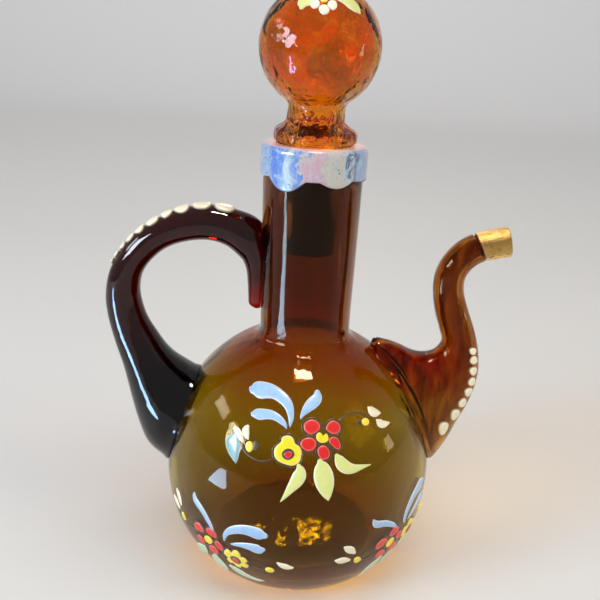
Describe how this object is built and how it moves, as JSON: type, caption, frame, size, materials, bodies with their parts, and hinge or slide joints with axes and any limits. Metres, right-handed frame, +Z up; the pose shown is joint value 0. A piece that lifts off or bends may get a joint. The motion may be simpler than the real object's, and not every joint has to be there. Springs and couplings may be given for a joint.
{
  "type": "stoppered cruet",
  "caption": "Hand-blown amber glass cruet with a round belly, tall neck, drawn handle, swan-neck spout with a gilded lip, enamelled rim and dots, and a hollow ball stopper that lifts out.",
  "frame": {"origin": "centre of the flat base, on the axis of the bulb and neck", "axes": "+Z up, +X towards the spout, handle on -X, decorated front on -Y"},
  "size_m": [0.1149, 0.08, 0.1665],
  "materials": {
    "amber_glass": "clear, hand blown",
    "brown_glass": "clear, hand blown",
    "dark_glass": "clear, thick, nearly black",
    "honey_glass": "clear, lightly wrinkled",
    "marbled_enamel": "glossy, marbled blue, pink and cream",
    "cream_enamel": "satin, raised",
    "gilding": "brushed-on gold, slightly worn"
  },
  "bodies": {
    "cruet": {"bottle": "amber_glass", "spout": "brown_glass", "spout_gilding": "gilding", "handle": "dark_glass", "rim_enamel": "marbled_enamel", "handle_dot_01": "cream_enamel", "handle_dot_02": "cream_enamel", "handle_dot_03": "cream_enamel", "handle_dot_04": "cream_enamel", "handle_dot_05": "cream_enamel", "handle_dot_06": "cream_enamel", "handle_dot_07": "cream_enamel", "handle_dot_08": "cream_enamel", "handle_dot_09": "cream_enamel", "handle_dot_10": "cream_enamel", "spout_dot_01": "cream_enamel", "spout_dot_02": "cream_enamel", "spout_dot_03": "cream_enamel", "spout_dot_04": "cream_enamel", "spout_dot_05": "cream_enamel", "spout_dot_06": "cream_enamel", "spout_dot_07": "cream_enamel", "spout_dot_08": "cream_enamel"},
    "stopper": {"stopper": "honey_glass"}
  },
  "joints": [
    {"name": "stopper_lift", "type": "slide", "parent": "cruet", "child": "stopper", "axis": [0, 0, 1], "range_m": [0, 0.045]}
  ]
}
